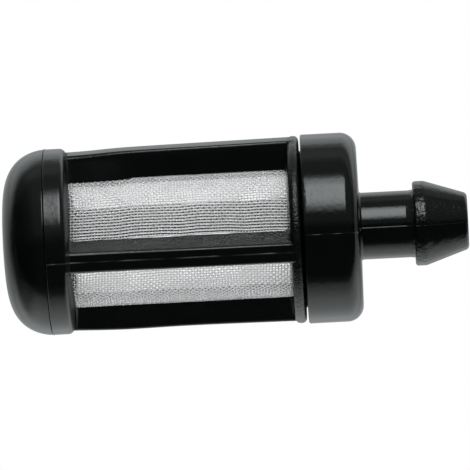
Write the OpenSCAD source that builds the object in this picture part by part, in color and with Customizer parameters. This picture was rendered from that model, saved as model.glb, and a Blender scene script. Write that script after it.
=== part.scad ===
// In-tank fuel filter (pickup strainer) for a small engine.
// The filter lies on its side along X, with its hose nipple towards +X.
// Its origin is on the surface it lies on, below the middle of its length. Millimetres.
// Each sub-part is drawn round a Z axis, with z = 0 at the closed end, and then laid down.

/* [Cage] */
// Radius of the closed end's band
band_r = 7.91; // [7.6:0.01:8]
// Height of the domed part of the closed end
dome_h = 3.8; // [3.2:0.01:4.2]
// Squareness of the dome: 2 is an ellipse, more is squarer
dome_power = 4.5; // [2.5:0.1:6]
// Height of the band's upper edge
band_top = 5.57; // [5.35:0.01:5.65]
// Height where the windows start, at the mesh
window_low = 5.78; // [5.72:0.01:6]
// Height where the windows end, at the mesh
window_high = 24.3; // [20:0.01:24.5]
// Height of the flange's upper face
flange_top = 25.42; // [25.3:0.01:25.5]
// Radius of the flange
flange_r = 7.97; // [7.6:0.01:8]
// Number of ribs between the windows
rib_count = 4; // [3:1:6]
// Radius of the ribs' crown at the closed end
rib_r_low = 7.75; // [7.55:0.01:7.8]
// Radius of the ribs' crown at the flange
rib_r_high = 7.94; // [7.7:0.01:7.95]
// Half width of a rib's crown
rib_crown_w = 0.68; // [0.5:0.02:0.8]
// Half width of a rib under its edge bevel
rib_bevel_w = 0.9; // [0.82:0.02:1.1]
// Half width of a rib at the mesh
rib_root_w = 1.36; // [1.2:0.01:1.6]
// Half width of the strip that each rib leaves inside the mesh
rib_inner_w = 1.22; // [1:0.01:1.4]
// Radius inside the cage
core_r = 5.15; // [4.8:0.05:5.3]
// Thickness of the closed end's wall
floor_t = 1.6; // [1.2:0.1:2]

/* [Mesh sleeve] */
// Outer radius of the woven sleeve
sleeve_r = 5.67; // [5.55:0.01:5.8]
// Thickness of the woven sleeve
sleeve_t = 0.2; // [0.14:0.02:0.22]
// Length of sleeve that is buried in the plastic past the windows at each end
sleeve_grip = 0.9; // [0.5:0.05:1]

/* [Neck joint] */
// Outer radius of the cage's neck
neck_r = 6.65; // [6.4:0.05:6.8]
// Height of the neck's end face
neck_top = 28.7; // [27.5:0.05:28.85]
// Radial clearance between the neck and the cap's socket
neck_clear = 0.03; // [0.01:0.01:0.08]
// Clearance between the neck's end face and the socket's floor
seat_gap = 0.05; // [0.03:0.01:0.1]

/* [Nipple cap] */
// Outer radius of the cap
cap_r = 8.05; // [7.98:0.01:8.4]
// Height of the cap's edge, just clear of the flange
cap_low = 25.58; // [25.55:0.01:25.8]
// Height of the cap's end face
cap_top = 30.3; // [30:0.05:31]
// Radius of the cap's outer corner
cap_corner = 1.4; // [0.8:0.1:2]
// Radius of the hose stem
stem_r = 2.85; // [2.4:0.05:3]
// Height of the barb's back face
barb_low = 34.9; // [33:0.01:35.2]
// Radius of the barb's land
barb_r = 3.6; // [3.3:0.05:3.8]
// Height where the barb's land ends and its cone starts
barb_land_top = 35.84; // [35.6:0.01:36.2]
// Height of the nipple's tip
tip_z = 39.5; // [38.5:0.1:41]
// Radius of the cone at the tip, before its edge is rounded
tip_r = 2.37; // [2.2:0.01:2.6]
// Radius of the fuel passage
passage_r = 1.6; // [1.3:0.05:1.8]

/* [Hidden] */
$fn = 96;
arc_steps = 6;
dome_steps = 18;
sleeve_low = window_low - sleeve_grip;
sleeve_high = window_high + sleeve_grip;
sleeve_bore = sleeve_r - sleeve_t;
band_round = 0.5;
flange_low = window_high + 0.1;
flange_round = 0.5;
flange_edge_round = 0.4;
rib_bevel_h = 0.2;
rib_spare = 0.5;
neck_chamfer = 0.35;
skirt_round = 0.15;
stem_fillet = 0.2;
barb_round = 0.25;
tip_round = 0.4;
passage_chamfer = 0.15;
passage_funnel = 0.8;
socket_r = neck_r + neck_clear;
socket_floor = neck_top + seat_gap;

// Points [r, z] on an arc about a centre, from angle a to angle b.
function arc(centre, radius, a, b) = [
    for (i = [0 : arc_steps])
        let (t = a + (b - a) * i / arc_steps)
            centre + radius * [cos(t), sin(t)]
];

// The dome's outline is a quarter of a superellipse, from the middle of its face to the band.
dome_outline = [
    for (i = [0 : dome_steps])
        let (t = 90 * i / dome_steps)
            [band_r * pow(sin(t), 2 / dome_power), dome_h * (1 - cos(t))]
];

// Turns the Z axis that the sub-parts are drawn round into the filter's own X axis.
module lay_down() {
    translate([-tip_z / 2, 0, cap_r])
        rotate([0, 90, 0])
            children();
}

// Closed end: dome, band and the sloped wall at the windows' foot.
module closed_end() {
    rotate_extrude()
        polygon(concat(
            dome_outline,
            arc([band_r - band_round, band_top - band_round], band_round, 0, 83),
            [[sleeve_r, window_low], [core_r, window_low], [core_r, floor_t], [0, floor_t]]
        ));
}

// Flange at the other end of the windows, with the neck that enters the cap.
module open_end() {
    rotate_extrude()
        polygon(concat(
            [[core_r, window_high], [sleeve_r, window_high]],
            arc([flange_r - flange_round, flange_low + flange_round], flange_round, -83, 0),
            arc([flange_r - flange_edge_round, flange_top - flange_edge_round], flange_edge_round, 0, 90),
            [[neck_r, flange_top], [neck_r, neck_top - neck_chamfer], [neck_r - neck_chamfer, neck_top]],
            [[core_r, neck_top]]
        ));
}

// One rib's section: a strip inside the mesh, drafted sides, then a bevel up to the crown.
module rib_section() {
    half = [
        [core_r - rib_spare, rib_inner_w],
        [sleeve_bore, rib_inner_w],
        [sleeve_r, rib_root_w],
        [rib_r_high - rib_bevel_h, rib_bevel_w],
        [rib_r_high, rib_crown_w],
        [rib_r_high + rib_spare, rib_crown_w]
    ];
    other_half = [for (i = [len(half) - 1 : -1 : 0]) [half[i][0], -half[i][1]]];
    polygon(concat(half, other_half));
}

// The space that the ribs fill, whose outer face widens slightly towards the flange.
module rib_envelope() {
    low = band_top - 2 * band_round;
    high = flange_low + flange_round;
    rotate_extrude()
        polygon([[core_r, low], [rib_r_low, low], [rib_r_high, high], [core_r, high]]);
}

// Ribs in one ring, evenly spaced.
module ribs() {
    intersection() {
        rib_envelope();
        for (i = [0 : rib_count - 1])
            rotate([0, 0, 360 * i / rib_count])
                linear_extrude(height = flange_top)
                    rib_section();
    }
}

// The woven sleeve's own shape, which is also the pocket that it leaves in the plastic.
module sleeve_tube() {
    rotate_extrude()
        polygon([
            [sleeve_bore, sleeve_low],
            [sleeve_r, sleeve_low],
            [sleeve_r, sleeve_high],
            [sleeve_bore, sleeve_high]
        ]);
}

// Moulded cage: closed end, ribs, flange and neck in one piece.
module strainer_cage() {
    color([0.05, 0.05, 0.055])
        lay_down()
            difference() {
                union() {
                    closed_end();
                    open_end();
                    ribs();
                }
                sleeve_tube();
            }
}

// Woven nylon sleeve, moulded into the cage's ribs and rings.
module mesh_sleeve() {
    color([0.85, 0.86, 0.86])
        lay_down()
            sleeve_tube();
}

// Cap that is pushed over the neck, in one piece with the hose nipple.
module nipple_cap() {
    color([0.03, 0.03, 0.035])
        lay_down()
            rotate_extrude()
                polygon(concat(
                    arc([socket_r + skirt_round, cap_low + skirt_round], skirt_round, 180, 270),
                    arc([cap_r - skirt_round, cap_low + skirt_round], skirt_round, -90, 0),
                    arc([cap_r - cap_corner, cap_top - cap_corner], cap_corner, 0, 90),
                    arc([stem_r + stem_fillet, cap_top + stem_fillet], stem_fillet, 270, 180),
                    [[stem_r, barb_low]],
                    arc([barb_r - barb_round, barb_low + barb_round], barb_round, -90, 0),
                    [[barb_r, barb_land_top]],
                    arc([tip_r - tip_round, tip_z - tip_round], tip_round, 20, 90),
                    [[passage_r + passage_chamfer, tip_z], [passage_r, tip_z - passage_chamfer]],
                    [[passage_r, socket_floor + passage_funnel], [passage_r + passage_funnel, socket_floor]],
                    [[socket_r, socket_floor]]
                ));
}

strainer_cage();
mesh_sleeve();
nipple_cap();
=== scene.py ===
"""Looks of an in-tank fuel filter: a moulded cage, a woven mesh sleeve in it, and a cap with a hose nipple.

Lengths are in millimetres while a piece is shaped, and in metres once it is a Blender mesh.
A piece is shaped in (a, r, angle): a runs along the filter's axis from its closed end, r is the distance
from the axis, and the angle is measured from the camera's side (-Y) towards the top (+Z).
"""
import math

import bpy
import numpy as np
from mathutils import Matrix, Vector


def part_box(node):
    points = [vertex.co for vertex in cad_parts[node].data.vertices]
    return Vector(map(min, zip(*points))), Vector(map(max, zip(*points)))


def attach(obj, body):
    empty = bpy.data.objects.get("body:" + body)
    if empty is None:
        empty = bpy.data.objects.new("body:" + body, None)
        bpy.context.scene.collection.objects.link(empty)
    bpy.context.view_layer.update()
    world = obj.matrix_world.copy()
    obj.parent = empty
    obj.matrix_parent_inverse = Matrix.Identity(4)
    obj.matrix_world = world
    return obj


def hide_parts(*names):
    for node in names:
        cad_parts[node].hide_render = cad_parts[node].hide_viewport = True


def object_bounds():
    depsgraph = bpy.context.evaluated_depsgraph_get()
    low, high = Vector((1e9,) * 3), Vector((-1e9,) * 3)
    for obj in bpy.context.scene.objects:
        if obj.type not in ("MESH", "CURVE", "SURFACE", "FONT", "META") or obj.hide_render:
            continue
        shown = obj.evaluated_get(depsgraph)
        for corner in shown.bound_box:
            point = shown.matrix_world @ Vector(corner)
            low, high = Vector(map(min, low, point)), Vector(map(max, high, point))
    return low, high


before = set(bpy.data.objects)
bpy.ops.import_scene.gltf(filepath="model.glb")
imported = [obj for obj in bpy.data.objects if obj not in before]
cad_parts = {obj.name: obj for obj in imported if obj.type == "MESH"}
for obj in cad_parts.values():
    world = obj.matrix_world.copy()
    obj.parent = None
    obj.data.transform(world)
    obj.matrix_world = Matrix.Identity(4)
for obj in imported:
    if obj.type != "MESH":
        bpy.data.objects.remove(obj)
CAD_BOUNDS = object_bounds()

MM = 0.001

# Places along the axis and radii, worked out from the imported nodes.
LOW, HIGH = CAD_BOUNDS
LENGTH = (HIGH.x - LOW.x) / MM
CAP_R = (HIGH.z - LOW.z) / MM / 2
AXIS_Z = CAP_R
START_X = LOW.x / MM
CAP_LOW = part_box("nipple_cap")[0].x / MM - START_X
NECK_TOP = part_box("strainer_cage")[1].x / MM - START_X
SLEEVE_LOW, SLEEVE_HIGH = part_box("mesh_sleeve")
SLEEVE_R = SLEEVE_HIGH.y / MM
WEAVE_R = SLEEVE_R - 0.1

# The cage's own sizes. A pair of places is from low to high along the axis.
BAND_R = 7.91
DOME_H = 3.8
DOME_POWER = 4.5
DOME_DRAFT = 0.005
BAND_FLAT = 5.07
BAND_ROUND = 0.5
WINDOW = (5.78, 24.3)
FLANGE = (24.4, 25.42)
FLANGE_R = 7.97
FLANGE_ROUND = 0.5
FLANGE_EDGE = 0.4
RIB_COUNT = 4
RIB_R = (7.75, 7.94)
RIB_CROWN_W = 0.68
RIB_BEVEL = (0.22, 0.2)
RIB_ROOT_W = 1.36
RIB_BLEND = 0.05
RING_BLEND = 0.12
RIB_DRAFT = math.radians(13)
WALL_DRAFT = math.radians(7)
WINDOW_CORNER = 0.35
RING_FILLET = 0.1
FOOT_FADE = 1.2
CORE_R = 5.15
FLOOR_T = 1.6
FLOOR_ROUND = 0.4
NECK_R = 6.65
NECK_ROUND = 0.35
BORE_ROUND = 0.12

# Moulding flash as (height, width), with the places of the ridge and groove from the dome's foot.
CAGE_SEAM_ANGLE = 0.6
SEAM_REACH = 0.105
CAGE_FLASH = (0.028, 0.038)
RING_RIDGE, RING_RIDGE_AT = (0.05, 0.02), 0.012
RING_GROOVE, RING_GROOVE_AT = (0.08, 0.022), -0.04

# The mesh. A pair is for the threads along the axis and for those that run round.
THREADS_ROUND = 138
PITCH_ANGLE = 2 * math.pi / THREADS_ROUND
PITCH = PITCH_ANGLE * WEAVE_R
THREAD_R = (0.072, 0.038)
THREAD_DEPTH = (0.085, 0.105)
THREAD_SIDES = 5
CRIMP = 0.045
THREAD_CLEARNESS = 0.85
THREAD_IOR = 1.15
WEAVE_TUCK = 0.22
WEAVE_OVERRUN = 0.12
WEAVE_LIMIT = (WINDOW[0] - 0.2, WINDOW[1] + 0.2)
WEAVE_BOW = 0.231

# The cap and its nipple. The flash has one height each for the cap, the stem and the barb.
CAP_TOP = 30.3
CAP_CORNER = 1.4
STEM_R = 2.85
BARB_LOW = 34.9
BARB_R = 3.6
LAND_TOP = 35.84
TIP_R = 2.37
TIP_ROUND = 0.4
PASSAGE_R = 1.6
PASSAGE_FUNNEL = 0.8
SKIRT_ROUND = 0.15
FACE_CROWN = 0.06
STEM_FILLET = 0.18
BARB_ROUND = 0.25
LAND_BLEND = 0.9
SOCKET_R = NECK_R + 0.03
SOCKET_FLOOR = NECK_TOP + 0.05
CAP_SEAM_ANGLE = 10.7
CAP_FLASH = (0.014, 0.03, 0.012)
CAP_FLASH_W = 0.028

# The photographer's camera: far away with a long lens, a little above, and tilted.
CAMERA_DISTANCE = 0.549
CAMERA_LENS = 494
CAMERA_ELEVATION = 14.5
CAMERA_YAW = 1.25
CAMERA_ROLL = 3.25
AIM = (-0.09, -0.2)

# The room's light by the direction it comes from. Turns are in degrees above the line to the camera, over the
# top to behind. The other places, from -1 to 1, are how far the direction points along the axis or to the camera.
DAYLIGHT = (0.95, 1.0, 1.0)
ROOM_LEVEL = 1.25
ROOM_TURNS = [
    (-180, 0.35), (-160, 0.5), (-140, 0.9), (-128, 0.96), (-98, 0.96), (-89, 0.78), (-80, 0.54), (-75, 0.42),
    (-72, 0.28), (-68, 0.08), (-58, 0.03), (0, 0.022), (12, 0.12), (60, 0.16), (86, 0.14), (100, 0.3),
    (113, 0.22), (120, 0.4), (128, 0.83), (145, 0.8), (162, 0.45), (180, 0.35),
]
ROOM_SIDES = [(-0.92, 0.06), (-0.7, 0.3), (-0.38, 1.0), (0.5, 1.0), (0.8, 1.1), (0.97, 0.6)]
ROOM_BACK = [(-0.7, 1.0), (-0.15, 0.0)]
SOFTBOX_LEVEL = 4.95
SOFTBOX_TURNS = [
    (19, 0.0), (25, 0.3), (31, 0.78), (38, 1.0), (52, 1.0), (59, 0.67), (62.5, 0.52), (64.5, 0.14), (70, 0.0),
]
SOFTBOX_SIDES = [(-0.09, 0.0), (-0.04, 1.0), (0.38, 1.0), (0.44, 0.0)]
FILLS = [("upper_fill", 6.0, 60), ("lower_fill", 1.5, -75)]
FILL_SPREAD = 50
BACKDROP_R = 1.2
FLOOR_HALF = 0.5


# ---------------------------------------------------------------- mesh building

def place(a, r, angle):
    """Points in metres from (a, r, angle) arrays."""
    a, r, angle = np.broadcast_arrays(a, r, angle)
    return np.stack([
        (a + START_X) * MM,
        -r * np.cos(angle) * MM,
        (AXIS_Z + r * np.sin(angle)) * MM,
    ], axis=-1)


def make_object(name, points, faces, sharp=math.radians(50)):
    """A smooth-shaded mesh object whose edges over the sharp angle stay crisp."""
    mesh = bpy.data.meshes.new(name)
    mesh.from_pydata(points.reshape(-1, 3).tolist(), [], faces)
    mesh.validate()
    mesh.polygons.foreach_set("use_smooth", [True] * len(mesh.polygons))
    mesh.set_sharp_from_angle(angle=sharp)
    mesh.update()
    made = bpy.data.objects.new(name, mesh)
    bpy.context.scene.collection.objects.link(made)
    return made


def grid_faces(rows, columns, wrap_rows=False):
    """Quads of a grid whose columns close into rings, as corner numbers by [row, column, corner]."""
    i, j = np.meshgrid(np.arange(rows if wrap_rows else rows - 1), np.arange(columns), indexing="ij")
    i2, j2 = (i + 1) % rows, (j + 1) % columns
    return np.stack([i * columns + j, i2 * columns + j, i2 * columns + j2, i * columns + j2], axis=-1)


def arc(centre, radius, start, end, steps=8):
    """Points (a, r) on an arc; angles in degrees, 0 along the axis and 90 outwards."""
    t = np.radians(np.linspace(start, end, steps + 1))
    return [(centre[0] + radius * math.cos(x), centre[1] + radius * math.sin(x)) for x in t]


def line(start, end, steps):
    """Points from start up to but without end."""
    return [tuple(np.array(start) + (np.array(end) - np.array(start)) * k / steps) for k in range(steps)]


def smooth_min(x, y, k):
    """The lower of two heights, rounded where they cross."""
    h = np.clip(0.5 + 0.5 * (y - x) / k, 0, 1)
    return y + (x - y) * h - k * h * (1 - h)


def smooth_max(x, y, k):
    """The higher of two heights, rounded where they cross."""
    return -smooth_min(-x, -y, k)


def wave(x, seed, first=1.0):
    """Smooth, repeatable unevenness from about -1 to 1 along x; first is its slowest wave's frequency."""
    total = np.zeros_like(x)
    draw = np.random.default_rng(seed)
    for k in range(4):
        frequency = first * 1.9 ** k * draw.uniform(0.85, 1.15)
        total = total + np.sin(frequency * x + draw.uniform(0, 2 * math.pi)) / 1.5 ** k
    return total / 2.2


# ---------------------------------------------------------------- the cage

def rib_angles():
    """Angles of the grid lines from one rib's centre to the next, and the number of the line at its root."""
    root = math.asin(RIB_ROOT_W / SLEEVE_R)
    crown = np.array([0, 0.018, 0.036, 0.06, 0.09, 0.22, 0.35, 0.5, 0.58, 0.62,
                      0.66, 0.70, 0.74, 0.80, 0.86, 0.90, 0.94, 0.99, 1.05])
    crown_angles = np.arctan2(crown, RIB_R[1] - 0.1)
    flank = np.linspace(crown_angles[-1], root, 14)[1:]
    half = np.concatenate([crown_angles, flank])
    gap = np.linspace(root, math.pi / 2 - root, 27)[1:-1]
    return np.concatenate([half, gap, (math.pi / 2 - half)[::-1][:-1]]), len(half) - 1


def ring_edge(flat_end, foot, radius, rounding):
    """A ring's edge towards the windows as (a, r): its shoulder, and a drafted wall down to the mesh."""
    side = math.copysign(1, foot - flat_end)
    shoulder = [(flat_end + side * rounding * math.sin(t), radius - rounding * (1 - math.cos(t)))
                for t in np.linspace(0, math.pi / 2 - WALL_DRAFT, 10)]
    wall_end = (foot - side * 0.3 * RING_FILLET, SLEEVE_R + RING_FILLET)
    wall = line(shoulder[-1], wall_end, 7)[1:]
    return shoulder + wall + [wall_end, (foot, SLEEVE_R + 0.02)]


LOW_RING = ring_edge(BAND_FLAT, WINDOW[0], BAND_R, BAND_ROUND)
HIGH_RING = ring_edge(FLANGE[0] + FLANGE_ROUND, WINDOW[1], FLANGE_R, FLANGE_ROUND)[::-1]


def ring_heights(a):
    """Outer radius that the rings give the skin at a; less than the mesh's radius inside the windows."""
    inside = SLEEVE_R - 0.4
    windows = [(WINDOW[0] + 0.02, inside), (WINDOW[1] - 0.02, inside)]
    places = [(0, BAND_R), *LOW_RING, *windows, *HIGH_RING, (FLANGE[1] - FLANGE_EDGE, FLANGE_R)]
    return np.interp(a, *np.array(places).T)


def rib_bow(a, rib):
    """How much, in mm, each rib's crown is warped outwards, a little differently on each."""
    top = 0.06 - 0.17 / (1 + np.exp((a - 8.6) / 0.9))
    bottom = 0.13 * np.exp(-((a - 9.6) / 4.2) ** 2) - 0.04
    plain = 0.02 * np.sin(0.5 * a)
    return np.select([rib == 1, rib == 3], [top, bottom], plain)


def cage_heights(a, angle, rib):
    """Outer radius of the cage at a and angle (from that rib's centre), outside the windows."""
    share = np.clip((a - WINDOW[0]) / (WINDOW[1] - WINDOW[0]), 0, 1)
    crown = RIB_R[0] + (RIB_R[1] - RIB_R[0]) * share + rib_bow(a, rib)
    sine, cosine = np.sin(angle), np.cos(angle)
    bevel_normal = np.array([RIB_BEVEL[1], RIB_BEVEL[0]]) / math.hypot(*RIB_BEVEL)
    bevel = (RIB_CROWN_W * bevel_normal[0] + crown * bevel_normal[1]) / (
        sine * bevel_normal[0] + cosine * bevel_normal[1])
    root_v = math.sqrt(SLEEVE_R ** 2 - RIB_ROOT_W ** 2)
    flank = (RIB_ROOT_W * math.cos(RIB_DRAFT) + root_v * math.sin(RIB_DRAFT)) / (
        sine * math.cos(RIB_DRAFT) + cosine * math.sin(RIB_DRAFT))
    rib_height = smooth_min(smooth_min(crown, bevel, RIB_BLEND), flank, RIB_BLEND)
    return smooth_max(rib_height, ring_heights(a) + 0 * angle, RING_BLEND)


def seam_ridge(distance, height, width):
    """A thin ridge of moulding flash, by the distance across it."""
    return height * np.exp(-(distance / width) ** 2)


def dome_heights(a):
    """The dome's radius at a, with the draft that it has from the parting line down."""
    bulge = BAND_R * (1 - (1 - np.clip(a / DOME_H, 0, 1)) ** 2) ** (1 / DOME_POWER)
    return bulge * (1 - DOME_DRAFT * (DOME_H - a))


def cage_profile():
    """Stations along the cage's skin: the dome as (a, r), then places along the axis up to the flange's edge."""
    t = np.radians(np.linspace(0, 90, 32))[1:]
    dome = [a for a in DOME_H * (1 - np.cos(t)) if a < DOME_H - 0.2]
    dome = [(0.004, 0.35), (0.008, 0.9), *[(a, dome_heights(a)) for a in dome]]
    near_seam = [DOME_H + d for d in (-0.16, -0.1, -0.07, -0.055, -0.04, -0.025, -0.01, 0.002,
                                      0.012, 0.022, 0.035, 0.06, 0.1, 0.18, 0.35)]
    band = list(np.linspace(DOME_H + 0.5, LOW_RING[0][0] - 0.06, 5))
    foot = [WINDOW[0] + d for d in (0, 0.03, 0.07, 0.12, 0.18, 0.25, 0.33, 0.45)]
    head = [WINDOW[1] - d for d in (0.45, 0.33, 0.25, 0.18, 0.12, 0.07, 0.03, 0)]
    ribs = list(np.linspace(foot[-1], head[0], 70))[1:-1]
    rim = list(np.linspace(HIGH_RING[-1][0] + 0.05, FLANGE[1] - FLANGE_EDGE, 3))
    low_ring, high_ring = [a for a, _ in LOW_RING[:-1]], [a for a, _ in HIGH_RING[1:]]
    return dome, near_seam + band + low_ring + foot + ribs + head + high_ring + rim


def cage_lines():
    """The skin's grid lines: their angle, their rib, their angle from its centre, and their flash from 0 to 1."""
    quarter, _ = rib_angles()
    angles = np.concatenate([quarter + k * math.pi / 2 for k in range(RIB_COUNT)])
    rib = np.round(angles / (math.pi / 2)).astype(int)
    off_centre = angles - rib * math.pi / 2
    seam_angle = math.radians(CAGE_SEAM_ANGLE)
    angles = angles + seam_angle * (abs(off_centre) < SEAM_REACH / BAND_R)
    from_rib = abs(angles - rib * math.pi / 2)
    flash = np.zeros_like(angles)
    for centre in (0, math.pi):
        offset = (angles - centre - seam_angle + math.pi) % (2 * math.pi) - math.pi
        flash = np.maximum(flash, seam_ridge(offset * BAND_R, 1, CAGE_FLASH[1]))
    return angles, rib % RIB_COUNT, from_rib, flash


def cage_skin(stations, angles, rib, from_rib, flash):
    """Outer radii by [station, line], with the mould's flash along the cage and round the dome's foot."""
    a = stations[:, None]
    skin = cage_heights(a, from_rib[None, :], rib[None, :])
    uneven = CAGE_FLASH[0] * (1 + 0.5 * wave(stations, 3, first=1.3))
    skin = skin + np.where(a > DOME_H, uneven[:, None] * flash[None, :], 0)
    ragged = 1 + 0.5 * wave(8 * angles, 5) + np.random.default_rng(6).uniform(-0.35, 0.35, len(angles))
    ring_flash = seam_ridge(a - DOME_H - RING_RIDGE_AT, *RING_RIDGE) * ragged[None, :]
    ring_flash -= seam_ridge(a - DOME_H - RING_GROOVE_AT, *RING_GROOVE)
    return np.where(a < DOME_H, dome_heights(a), skin) + ring_flash


def neck_outline():
    """The cage's outline (a, r) past the flange's edge: round the neck and back inside as far as the windows."""
    face = FLANGE[1]
    outline = arc((face - FLANGE_EDGE, FLANGE_R - FLANGE_EDGE), FLANGE_EDGE, 90, 0, 6)[1:]
    outline += line((face, FLANGE_R - 0.5), (face, NECK_R + 0.1), 3)
    outline += [(face + 0.03, NECK_R + 0.03), (face + 0.1, NECK_R)]
    outline += line((face + 0.4, NECK_R), (NECK_TOP - NECK_ROUND, NECK_R), 4)
    outline += arc((NECK_TOP - NECK_ROUND, NECK_R - NECK_ROUND), NECK_ROUND, 90, 0, 6)
    outline += line((NECK_TOP, NECK_R - 0.6), (NECK_TOP, CORE_R + 0.2), 3)
    outline += arc((NECK_TOP - BORE_ROUND, CORE_R + BORE_ROUND), BORE_ROUND, 0, -90, 4)
    outline += line((NECK_TOP - 0.4, CORE_R), (WINDOW[1] + 0.1, CORE_R), 8)
    return outline


def floor_outline():
    """The inside of the closed end as (a, r), from the windows to near the middle of its floor."""
    outline = line((WINDOW[0] - 0.2, CORE_R), (FLOOR_T + FLOOR_ROUND, CORE_R), 6)
    outline += arc((FLOOR_T + FLOOR_ROUND, CORE_R - FLOOR_ROUND), FLOOR_ROUND, 90, 180, 6)
    outline += line((FLOOR_T, CORE_R - 0.6), (FLOOR_T, 0.3), 8)
    return outline


def gap_lines():
    """Which grid lines, from one rib's centre to the next, start a column of quads inside the window."""
    quarter, root_line = rib_angles()
    lines = np.arange(len(quarter))
    return (lines >= root_line) & (lines < len(quarter) - root_line)


def foot_share(a, first_window, last_window, inner_first, inner_last):
    """How far, from 0 to 1, each row follows the ribs' feet: wholly in the windows, fading out past their ends."""
    rows_outside, rows_inside = 20, 3
    share = np.clip(1 - (ring_heights(a) - SLEEVE_R - RING_FILLET) / FOOT_FADE, 0, 1)
    share[:first_window - rows_outside] = 0
    share[last_window + rows_outside:] = 0
    inner = np.arange(inner_first - rows_inside, inner_last + rows_inside + 1)
    share[inner] = np.clip(1 - abs(inner - np.clip(inner, inner_first, inner_last)) / rows_inside, 0, 1)
    return share


def build_cage():
    """The moulding as one closed skin, with its windows open and the sleeve's pocket left out."""
    angles, rib, from_rib, flash = cage_lines()
    count = len(angles)
    dome, stations = cage_profile()
    stations = np.array(stations)
    skin = cage_skin(stations, angles, rib, from_rib, flash)
    low, high = (int(np.argmin(abs(stations - end))) for end in WINDOW)
    neck = neck_outline()

    def turned(outline):
        """Rows of the grid by [row, (a, r), line] from an outline that is the same all round."""
        return np.repeat(np.array(outline)[:, :, None], count, axis=2)

    ribbed = np.stack([np.broadcast_to(stations[:, None], skin.shape), skin], axis=1)
    inside = turned([(a, CORE_R) for a in stations[low:high + 1][::-1]])
    rows = np.concatenate([turned(dome), ribbed, turned(neck), inside, turned(floor_outline())])
    first_window, last_window = len(dome) + low, len(dome) + high
    inner_first = len(dome) + len(stations) + len(neck)
    inner_last = inner_first + high - low

    rows_angle = np.tile(angles, (len(rows), 1))
    share = foot_share(rows[:, 0, 0], first_window, last_window, inner_first, inner_last)
    shift_feet(rows_angle, rows[:, 0, 0], share)
    points = place(rows[:, 0], rows[:, 1], rows_angle).reshape(-1, 3)
    poles = place(np.array([0.0, FLOOR_T]), np.zeros(2), np.zeros(2))

    faces = grid_faces(len(rows), count)
    in_gap = np.tile(gap_lines(), RIB_COUNT)
    keep = np.ones(faces.shape[:2], bool)
    keep[first_window:last_window, :] &= ~in_gap[None, :]
    keep[inner_first:inner_last, :] &= ~in_gap[None, :]
    quads = faces[keep].tolist() + window_walls(first_window, last_window, inner_last, in_gap)
    first_pole = len(points)
    last_row = first_pole - count
    caps = [[first_pole, j, (j + 1) % count] for j in range(count)]
    caps += [[first_pole + 1, last_row + (j + 1) % count, last_row + j] for j in range(count)]
    points = np.concatenate([points, poles])
    return make_object("strainer_cage_moulding", points, quads + caps, sharp=math.radians(60))


def window_walls(first, last, inner_last, in_gap):
    """Quads that join the outer skin to the inside all round each window."""
    count = len(in_gap)

    def corner(row, line_number, outer):
        """Number of a grid point: on the skin's row, or on the inside's row that lies under it."""
        return (row if outer else inner_last - (row - first)) * count + line_number

    def wall(start, end):
        """A quad from one (row, line) on the skin to another, and back along the inside."""
        return [corner(*start, True), corner(*end, True), corner(*end, False), corner(*start, False)]

    quads = []
    gaps = np.flatnonzero(in_gap).tolist()
    starts = [j for j in gaps if not in_gap[(j - 1) % count]]
    ends = [(j + 1) % count for j in gaps if not in_gap[(j + 1) % count]]
    for row in range(first, last):
        quads += [wall((row, j), (row + 1, j)) for j in starts]
        quads += [wall((row + 1, j), (row, j)) for j in ends]
    for j in gaps:
        beside = (j + 1) % count
        quads.append(wall((first, beside), (first, j)))
        quads.append(wall((last, j), (last, beside)))
    return quads


def foot_creep(a, rib, side):
    """How far past its nominal edge, in mm, a rib's foot reaches over the mesh at a."""
    creep = 0.03 * (1 + wave(a, 11 + 2 * rib + side, first=0.9))
    if rib == 1 and side == -1:
        creep = creep - 0.27 + 0.36 / (1 + np.exp((a - 10.7) / 0.35))
    inside = np.clip(np.minimum(a - WINDOW[0], WINDOW[1] - a) / WINDOW_CORNER, 0, 1)
    return creep + WINDOW_CORNER * (1 - np.sqrt(1 - (1 - inside) ** 2))


def shift_feet(rows_angle, a, share):
    """Moves the ribs' flanks and the window edges sideways by the creep, and rounds the windows' corners."""
    quarter, root_line = rib_angles()
    lines = len(quarter)
    root = quarter[root_line]
    flank = np.clip((quarter - root * 0.55) / (root * 0.45), 0, 1)
    across = np.clip((quarter - root) / (math.pi / 2 - 2 * root), 0, 1)
    near = np.where(np.arange(lines) > root_line, 1, flank) * (1 - across)
    far = np.roll(near[::-1], 1)
    for rib in range(RIB_COUNT):
        after = foot_creep(a, rib, 1) * share / SLEEVE_R
        before = foot_creep(a, (rib + 1) % RIB_COUNT, -1) * share / SLEEVE_R
        columns = slice(rib * lines, (rib + 1) * lines)
        rows_angle[:, columns] += after[:, None] * near[None, :] - before[:, None] * far[None, :]


# ---------------------------------------------------------------- the mesh sleeve

def tube(centres, radius, side_vector, out_vector):
    """Points of a closed tube by [thread, ring, side] about centre lines by [thread, ring]."""
    t = np.arange(THREAD_SIDES) * 2 * math.pi / THREAD_SIDES
    return (centres[:, :, None, :]
            + radius * MM * np.cos(t)[None, None, :, None] * side_vector[:, :, None, :]
            + radius * MM * np.sin(t)[None, None, :, None] * out_vector[:, :, None, :])


def tube_faces(threads, rings, first):
    """Quads of the tubes and a cap on each of their ends."""
    sides = THREAD_SIDES
    one = grid_faces(rings, sides).reshape(-1, 4)
    offsets = first + np.arange(threads) * rings * sides
    quads = (one[None] + offsets[:, None, None]).reshape(-1, 4).tolist()
    for offset in offsets.tolist():
        quads.append(list(range(offset, offset + sides)))
        end = offset + (rings - 1) * sides
        quads.append(list(range(end + sides - 1, end - 1, -1)))
    return quads


def drift(a, angle):
    """How far, in mm round the sleeve, the weave is pulled askew."""
    share = (a - WINDOW[0]) / (WINDOW[1] - WINDOW[0])
    bow = WEAVE_BOW * 4 * share * (1 - share)
    return bow + 0.035 * np.sin(1.1 * a + 2 * angle) + 0.012 * np.sin(2.3 * a + 1)


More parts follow.
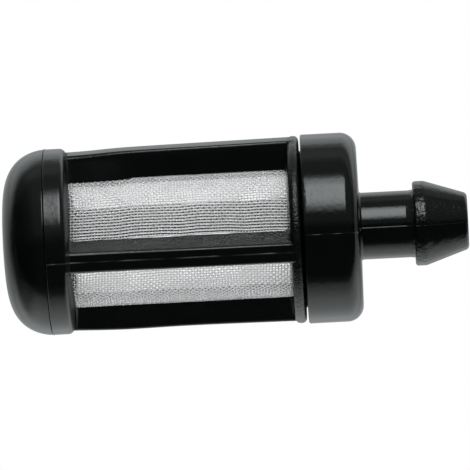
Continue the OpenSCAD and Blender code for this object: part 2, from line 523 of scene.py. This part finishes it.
def sway(angle, a):
    """How far, in mm along the axis, the threads that run round are pulled askew."""
    return 0.16 * np.sin(2.0 * angle + 0.4) + 0.05 * np.sin(7 * angle + 0.35 * a)


def outward(angle):
    """Unit vectors away from the axis."""
    return np.stack([0 * angle, -np.cos(angle), np.sin(angle)], axis=-1)


def half_steps(crossings):
    """Places of a thread's rings, two to each crossing, counted in threads."""
    return np.arange(2 * crossings[0], 2 * crossings[-1] + 1) / 2


def axial_threads(along, around, edges):
    """Tubes of the threads that run along the axis, by [thread, ring, side]."""
    steps = half_steps(around)
    radius = SLEEVE_R - THREAD_DEPTH[0]
    a = np.broadcast_to(steps * PITCH, (len(along), len(steps)))
    straight = along[:, None] * PITCH_ANGLE
    angle = np.clip(straight + drift(a, straight) / radius, *edges)
    lift = CRIMP * np.cos(math.pi * (steps[None, :] + along[:, None]))
    side = np.stack([0 * angle, np.sin(angle), np.cos(angle)], axis=-1)
    return tube(place(a, radius + lift, angle), THREAD_R[0], side, outward(angle))


def ring_threads(along, around, edges):
    """Tubes of the threads that run round, by [thread, ring, side]: over where the others are under."""
    steps = half_steps(along)
    straight = np.broadcast_to(steps * PITCH_ANGLE, (len(around), len(steps)))
    row = around[:, None] * PITCH
    a = np.clip(row + sway(straight, row), *WEAVE_LIMIT)
    angle = np.clip(straight + drift(a, straight) / (SLEEVE_R - THREAD_DEPTH[0]), *edges)
    lift = -CRIMP * np.cos(math.pi * (steps[None, :] + around[:, None]))
    side = np.broadcast_to([1.0, 0.0, 0.0], (*angle.shape, 3))
    return tube(place(a, SLEEVE_R - THREAD_DEPTH[1] + lift, angle), THREAD_R[1], side, -outward(angle))


def build_mesh_half(name, ribs):
    """The weave in the two windows next to these ribs: real threads, over and under each other."""
    half_window = math.pi / 4 - (math.asin(RIB_ROOT_W / SLEEVE_R) - WEAVE_TUCK / SLEEVE_R)
    start, end = WINDOW[0] - WEAVE_OVERRUN, WINDOW[1] + WEAVE_OVERRUN
    around = np.arange(math.ceil(start / PITCH), math.floor(end / PITCH) + 1)
    points, faces, first = [], [], 0
    for rib in ribs:
        centre = (rib + 0.5) * math.pi / 2
        low, high = centre - half_window, centre + half_window
        along = np.arange(math.ceil(low / PITCH_ANGLE), math.floor(high / PITCH_ANGLE) + 1)
        for threads in (axial_threads, ring_threads):
            made = threads(along, around, (low, high))
            faces += tube_faces(*made.shape[:2], first)
            points.append(made.reshape(-1, 3))
            first += len(points[-1])
    return make_object(name, np.concatenate(points), faces, sharp=math.radians(80))


# ---------------------------------------------------------------- the cap

def cone_outline():
    """The barb's land, cone and rounded tip as (a, r)."""
    outline = line((BARB_LOW + 0.35, BARB_R), (LAND_TOP - 0.2, BARB_R), 3)
    slope = math.atan2(BARB_R - TIP_R, LENGTH - LAND_TOP)
    knee = LAND_TOP - LAND_BLEND * math.tan(slope / 2)
    blend = [(knee + LAND_BLEND * math.sin(x), BARB_R - LAND_BLEND * (1 - math.cos(x)))
             for x in np.linspace(0, slope, 6)]
    tip_centre = (LENGTH - TIP_ROUND, TIP_R + TIP_ROUND * (math.tan(slope) - 1 / math.cos(slope)))
    tip = arc(tip_centre, TIP_ROUND, 90 - math.degrees(slope), 0, 8)
    outline += blend + line(blend[-1], tip[0], 16)[1:] + tip
    outline += line((LENGTH, tip_centre[1] - 0.1), (LENGTH, PASSAGE_R + 0.16), 2)
    return outline


def cap_profile():
    """The cap's closed outline (a, r), from the skirt's inner edge round the outside and back inside."""
    outline = arc((CAP_LOW + BORE_ROUND, SOCKET_R + BORE_ROUND), BORE_ROUND, 270, 180, 4)
    outline += arc((CAP_LOW + SKIRT_ROUND, CAP_R - SKIRT_ROUND), SKIRT_ROUND, 180, 90, 6)
    outline += line((CAP_LOW + 0.4, CAP_R), (CAP_TOP - CAP_CORNER, CAP_R), 10)
    outline += arc((CAP_TOP - CAP_CORNER, CAP_R - CAP_CORNER), CAP_CORNER, 90, 0, 18)[:-1]
    crown = CAP_TOP + FACE_CROWN
    outline += line((CAP_TOP, CAP_R - CAP_CORNER), (crown, STEM_R + 0.2), 8)
    outline += [(crown + STEM_FILLET * (1 - math.cos(x)), STEM_R + STEM_FILLET * (1 - math.sin(x)))
                for x in np.radians(np.linspace(0, 90, 7))]
    outline += line((CAP_TOP + 0.4, STEM_R), (BARB_LOW - 0.05, STEM_R), 12)
    outline += [(BARB_LOW, STEM_R + 0.05)]
    outline += line((BARB_LOW, STEM_R + 0.15), (BARB_LOW, BARB_R - BARB_ROUND), 3)
    outline += arc((BARB_LOW + BARB_ROUND, BARB_R - BARB_ROUND), BARB_ROUND, 180, 90, 7)
    outline += cone_outline()
    outline += arc((LENGTH - BORE_ROUND, PASSAGE_R + BORE_ROUND), BORE_ROUND, 0, -90, 5)
    funnel = (SOCKET_FLOOR, PASSAGE_R + PASSAGE_FUNNEL)
    outline += line((LENGTH - 0.4, PASSAGE_R), (SOCKET_FLOOR + PASSAGE_FUNNEL, PASSAGE_R), 12)
    outline += line((SOCKET_FLOOR + PASSAGE_FUNNEL, PASSAGE_R), funnel, 3)
    outline += line(funnel, (SOCKET_FLOOR, SOCKET_R), 6)
    outline += line((SOCKET_FLOOR, SOCKET_R), (CAP_LOW + 0.3, SOCKET_R), 5)
    return np.array(outline)


def cap_lines():
    """The grid lines round the cap, close together at its two parting lines, and their angles from the nearest."""
    seam = math.radians(CAP_SEAM_ANGLE)
    one_side = np.array([0.015, 0.035, 0.06, 0.1, 0.16, 0.25]) / CAP_R
    near = np.concatenate([-one_side[::-1], [0], one_side])
    plain = np.linspace(near[-1], math.pi - near[-1], 96)[1:-1]
    angles = np.concatenate([seam + near, seam + plain, seam + math.pi + near, seam + math.pi + plain])
    offset = np.minimum(abs((angles - seam + math.pi) % (2 * math.pi) - math.pi),
                        abs((angles - seam) % (2 * math.pi) - math.pi))
    return angles, offset


def build_cap():
    """The cap and nipple, turned from its outline, with the flash of the mould's two halves along it."""
    outline = cap_profile()
    a, r = outline.T
    along = np.roll(outline, -1, axis=0) - np.roll(outline, 1, axis=0)
    normal = np.stack([-along[:, 1], along[:, 0]], axis=1)
    normal /= np.linalg.norm(normal, axis=1)[:, None] + 1e-12
    outside = (r > STEM_R - 0.01) & (a > CAP_LOW + 0.1) & ((r > SOCKET_R + 0.2) | (a >= CAP_TOP))
    outside |= (a > LAND_TOP) & (r > TIP_R - 0.12)

    angles, offset = cap_lines()
    ridge = seam_ridge(offset[None, :] * r[:, None], 1, CAP_FLASH_W)
    height = np.select([a < CAP_TOP, a < BARB_LOW], CAP_FLASH[:2], CAP_FLASH[2])
    height = height * (1 + 0.6 * wave(a * 2, 21, first=1.7))
    swell = outside[:, None] * height[:, None] * ridge
    points = place(a[:, None] + normal[:, :1] * swell, r[:, None] + normal[:, 1:] * swell, angles[None, :])
    faces = grid_faces(len(outline), len(angles), wrap_rows=True).reshape(-1, 4).tolist()
    return make_object("nipple_cap_moulding", points, faces, sharp=math.radians(40))


# ---------------------------------------------------------------- materials

class Nodes:
    """A material's node tree, with short calls for the few nodes that the plastics and threads need."""

    def __init__(self, name):
        self.material = bpy.data.materials.new(name)
        self.material.use_nodes = True
        self.tree = self.material.node_tree
        self.shader = self.tree.nodes["Principled BSDF"]
        self.place = self.add("ShaderNodeTexCoord").outputs["Object"]

    def add(self, kind, **values):
        node = self.tree.nodes.new(kind)
        for key, value in values.items():
            setattr(node, key, value)
        return node

    def link(self, output, socket):
        self.tree.links.new(output, socket)

    def math(self, operation, first, second):
        node = self.add("ShaderNodeMath", operation=operation)
        for socket, value in zip(node.inputs, (first, second)):
            if isinstance(value, (int, float)):
                socket.default_value = value
            else:
                self.link(value, socket)
        return node.outputs[0]

    def stretch(self, factors):
        """The place on the object, scaled along X, Y and Z."""
        node = self.add("ShaderNodeMapping")
        node.inputs["Scale"].default_value = factors
        self.link(self.place, node.inputs["Vector"])
        return node.outputs["Vector"]

    def noise(self, size_mm, vector=None, detail=3.0, rough=0.55):
        """Noise whose features are about that size."""
        node = self.add("ShaderNodeTexNoise")
        node.inputs["Scale"].default_value = 1 / (size_mm * MM)
        node.inputs["Detail"].default_value = detail
        node.inputs["Roughness"].default_value = rough
        self.link(vector or self.place, node.inputs["Vector"])
        return node.outputs["Fac"]

    def between(self, value, low, high, to_low=0.0, to_high=1.0):
        """value mapped from low..high to to_low..to_high, and held there past the ends."""
        node = self.add("ShaderNodeMapRange")
        for key, number in (("From Min", low), ("From Max", high), ("To Min", to_low), ("To Max", to_high)):
            node.inputs[key].default_value = number
        self.link(value, node.inputs["Value"])
        return node.outputs["Result"]

    def stretch_of_axis(self, start, end, edge=0.08):
        """1 where a lies from start to end, in mm, and 0 elsewhere."""
        separate = self.add("ShaderNodeSeparateXYZ")
        self.link(self.place, separate.inputs[0])
        x = separate.outputs["X"]
        low, high = (start + START_X) * MM, (end + START_X) * MM
        rises = self.between(x, low - edge * MM, low)
        falls = self.between(x, high, high + edge * MM, 1.0, 0.0)
        return self.math("MULTIPLY", rises, falls)

    def bump(self, height, depth_mm, normal=None):
        """A bump of that depth where the height goes from 0 to 1."""
        node = self.add("ShaderNodeBump")
        node.inputs["Strength"].default_value = 1.0
        node.inputs["Distance"].default_value = depth_mm * MM
        self.link(height, node.inputs["Height"])
        if normal is not None:
            self.link(normal, node.inputs["Normal"])
        return node.outputs["Normal"]

    def mix(self, factor, low, high):
        """A colour between two."""
        node = self.add("ShaderNodeMix", data_type="RGBA")
        node.inputs["A"].default_value = (*low, 1)
        node.inputs["B"].default_value = (*high, 1)
        self.link(factor, node.inputs["Factor"])
        return node.outputs["Result"]


def cage_plastic():
    """Satin black moulding: mottling and fine grain, a coarse spark-eroded flange, and a dull wall by the band."""
    m = Nodes("cage_plastic")
    mottle = m.noise(1.6, detail=4)
    grain = m.noise(0.05, rough=0.65)
    flange = m.stretch_of_axis(FLANGE[0] + 0.1, FLANGE[1])
    wall = m.stretch_of_axis(BAND_FLAT + BAND_ROUND - 0.05, WINDOW[0] + 0.02)
    m.link(m.mix(mottle, (0.0006, 0.0008, 0.0009), (0.0016, 0.0018, 0.0019)), m.shader.inputs["Base Color"])
    roughness = m.between(mottle, 0.3, 0.7, 0.13, 0.19)
    roughness = m.math("ADD", roughness, m.math("MULTIPLY", flange, 0.03))
    roughness = m.math("ADD", roughness, m.math("MULTIPLY", wall, 0.35))
    m.link(roughness, m.shader.inputs["Roughness"])
    fine = m.bump(grain, 0.0012)
    waves = m.bump(m.noise(0.9), 0.018, fine)
    coarse = m.math("MULTIPLY", m.between(m.noise(0.2, detail=2, rough=0.5), 0.35, 0.65), flange)
    m.link(m.bump(coarse, 0.026, waves), m.shader.inputs["Normal"])
    return m.material


def cap_plastic():
    """Glossy black moulding: orange peel, the mould's turning marks, and a barb pitted most of all on its land."""
    m = Nodes("cap_plastic")
    mottle = m.noise(1.1, detail=4)
    barb = m.stretch_of_axis(BARB_LOW - 0.05, LENGTH + 1)
    m.link(m.mix(mottle, (0.0005, 0.0006, 0.0007), (0.0012, 0.0014, 0.0014)), m.shader.inputs["Base Color"])
    roughness = m.between(mottle, 0.3, 0.7, 0.07, 0.11)
    specks = m.between(m.noise(0.35, detail=4, rough=0.7), 0.5, 0.62)
    roughness = m.math("ADD", roughness, m.math("MULTIPLY", m.math("MULTIPLY", specks, barb), 0.08))
    m.link(roughness, m.shader.inputs["Roughness"])
    marks = m.bump(m.noise(0.18, m.stretch((1.0, 0.06, 0.06))), 0.004)
    skin = m.bump(m.noise(0.4), 0.009, marks)
    land = m.stretch_of_axis(BARB_LOW - 0.05, LAND_TOP, edge=0.6)
    pitted = m.math("ADD", m.math("MULTIPLY", barb, 0.45), m.math("MULTIPLY", land, 0.55))
    pits = m.math("MULTIPLY", m.noise(0.5, rough=0.6), pitted)
    m.link(m.bump(pits, 0.085, skin), m.shader.inputs["Normal"])
    return m.material


def mesh_nylon():
    """White nylon thread: glossy, letting light through, a little uneven from thread to thread."""
    m = Nodes("mesh_nylon")
    uneven = m.noise(0.8)
    m.link(m.mix(uneven, (0.94, 0.95, 0.955), (0.98, 0.985, 0.985)), m.shader.inputs["Base Color"])
    m.link(m.between(uneven, 0.3, 0.7, 0.10, 0.18), m.shader.inputs["Roughness"])
    m.link(m.bump(m.noise(0.04, detail=2), 0.002), m.shader.inputs["Normal"])
    m.shader.inputs["Transmission Weight"].default_value = THREAD_CLEARNESS
    m.shader.inputs["IOR"].default_value = THREAD_IOR
    m.shader.inputs["Specular IOR Level"].default_value = 1.0
    return m.material


# ---------------------------------------------------------------- studio

def white_surface(name, brightness):
    """A plain, evenly lit white surface."""
    material = bpy.data.materials.new(name)
    material.use_nodes = True
    shader = material.node_tree.nodes["Principled BSDF"]
    shader.inputs["Base Color"].default_value = (0, 0, 0, 1)
    shader.inputs["Specular IOR Level"].default_value = 0
    shader.inputs["Emission Color"].default_value = (1, 1, 1, 1)
    shader.inputs["Emission Strength"].default_value = brightness
    return material


def seen_only_directly(thing):
    """Keeps a surface to the camera's own view and the view through the clear threads."""
    for kind in ("diffuse", "glossy", "volume_scatter", "shadow"):
        setattr(thing, "visible_" + kind, False)


def build_stage():
    """A pale floor under the filter and a white backdrop all round it; the world does the lighting."""
    corners = FLOOR_HALF * np.array([[-1, -1, 0], [1, -1, 0], [1, 1, 0], [-1, 1, 0]])
    floor = make_object("floor", corners, [[0, 1, 2, 3]])
    floor.data.materials.append(white_surface("floor_white", 1.0))
    bpy.ops.mesh.primitive_uv_sphere_add(segments=48, ring_count=24, radius=BACKDROP_R)
    backdrop = bpy.context.object
    backdrop.name = "backdrop"
    backdrop.data.materials.append(white_surface("backdrop_white", 1.0))
    for thing in (floor, backdrop):
        seen_only_directly(thing)


def build_world():
    """Soft studio light that depends only on the direction: white below and behind, a softbox above the camera."""
    world = bpy.data.worlds.new("studio")
    bpy.context.scene.world = world
    world.use_nodes = True
    tree = world.node_tree
    background = tree.nodes["Background"]
    new = tree.nodes.new

    def math_node(operation, first, second):
        """One step of arithmetic on sockets or numbers."""
        node = new("ShaderNodeMath")
        node.operation = operation
        for socket, value in zip(node.inputs, (first, second)):
            if isinstance(value, (int, float)):
                socket.default_value = value
            else:
                tree.links.new(value, socket)
        return node.outputs[0]

    def along(vector):
        """How far the direction points along a unit vector, from -1 to 1."""
        node = new("ShaderNodeVectorMath")
        node.operation = "DOT_PRODUCT"
        tree.links.new(coordinates.outputs["Generated"], node.inputs[0])
        node.inputs[1].default_value = vector
        return node.outputs["Value"]

    def ramp(value, reach, stops):
        """Levels by a value from -reach to reach, with the stops in the value's own units."""
        share = math_node("ADD", math_node("MULTIPLY", value, 0.5 / reach), 0.5)
        node = new("ShaderNodeValToRGB")
        node.color_ramp.interpolation = "EASE"
        elements = node.color_ramp.elements
        while len(elements) < len(stops):
            elements.new(0.5)
        for element, (position, level) in zip(elements, stops):
            element.position = 0.5 + 0.5 * position / reach
            element.color = (level, level, level, 1)
        tree.links.new(share, node.inputs["Fac"])
        return node.outputs["Color"]

    coordinates = new("ShaderNodeTexCoord")
    tilt = math.radians(CAMERA_ELEVATION)
    forward = along((0, -math.cos(tilt), math.sin(tilt)))
    upward = along((0, math.sin(tilt), math.cos(tilt)))
    sideways = along((1, 0, 0))
    turn = math_node("MULTIPLY", math_node("ARCTAN2", upward, forward), math.degrees(1))

    shade = math_node("MAXIMUM", ramp(sideways, 1, ROOM_SIDES), ramp(forward, 1, ROOM_BACK))
    room = math_node("MULTIPLY", ramp(turn, 180, ROOM_TURNS), shade)
    softbox = math_node("MULTIPLY", ramp(turn, 180, SOFTBOX_TURNS), ramp(sideways, 1, SOFTBOX_SIDES))
    room = math_node("MULTIPLY", room, ROOM_LEVEL)
    softbox = math_node("MULTIPLY", softbox, SOFTBOX_LEVEL)
    tree.links.new(math_node("ADD", room, softbox), background.inputs["Strength"])
    background.inputs["Color"].default_value = (*DAYLIGHT, 1)


def build_fills():
    """Two soft lamps, above and below, that lift the white threads and stay out of the plastics' reflections."""
    for name, strength, angle in FILLS:
        data = bpy.data.lights.new(name, "SUN")
        data.energy = strength
        data.angle = math.radians(FILL_SPREAD)
        fill = bpy.data.objects.new(name, data)
        bpy.context.scene.collection.objects.link(fill)
        fill.rotation_euler = (math.radians(90 - CAMERA_ELEVATION - angle), 0, 0)
        fill.visible_glossy = False


def build_camera():
    """The camera, aimed so that the filter fills the view as it does for the photographer."""
    data = bpy.data.cameras.new("camera")
    data.lens = CAMERA_LENS
    data.sensor_width = 36
    data.clip_start, data.clip_end = 0.01, 20
    camera = bpy.data.objects.new("camera", data)
    bpy.context.scene.collection.objects.link(camera)
    yaw, tilt, roll = (math.radians(x) for x in (CAMERA_YAW, CAMERA_ELEVATION, CAMERA_ROLL))
    back = Vector((math.sin(yaw) * math.cos(tilt), -math.cos(yaw) * math.cos(tilt), math.sin(tilt)))
    turned = (-back).to_track_quat("-Z", "Y").to_matrix().to_4x4() @ Matrix.Rotation(-roll, 4, "Z")
    right, up = turned.col[0].to_3d(), turned.col[1].to_3d()
    target = Vector((0, 0, AXIS_Z * MM)) + (AIM[0] * right + AIM[1] * up) * MM
    camera.matrix_world = Matrix.Translation(target + back * CAMERA_DISTANCE) @ turned
    bpy.context.scene.camera = camera


# ---------------------------------------------------------------- assembly

def finish_piece(piece, body, node, material):
    """Gives a piece its material, hangs it under its body's empty, and hides the CAD node that it stands in for.
    """
    piece.data.materials.append(material)
    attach(piece, body)
    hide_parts(node)


bpy.context.scene.view_settings.view_transform = "Standard"
build_camera()
build_world()
build_fills()
build_stage()

finish_piece(build_cage(), "cage", "strainer_cage", cage_plastic())
finish_piece(build_cap(), "cap", "nipple_cap", cap_plastic())
nylon = mesh_nylon()
for half_name, half_ribs in (("mesh_sleeve_front", (0, 3)), ("mesh_sleeve_back", (1, 2))):
    half = build_mesh_half(half_name, half_ribs)
    finish_piece(half, "cage", "mesh_sleeve", nylon)
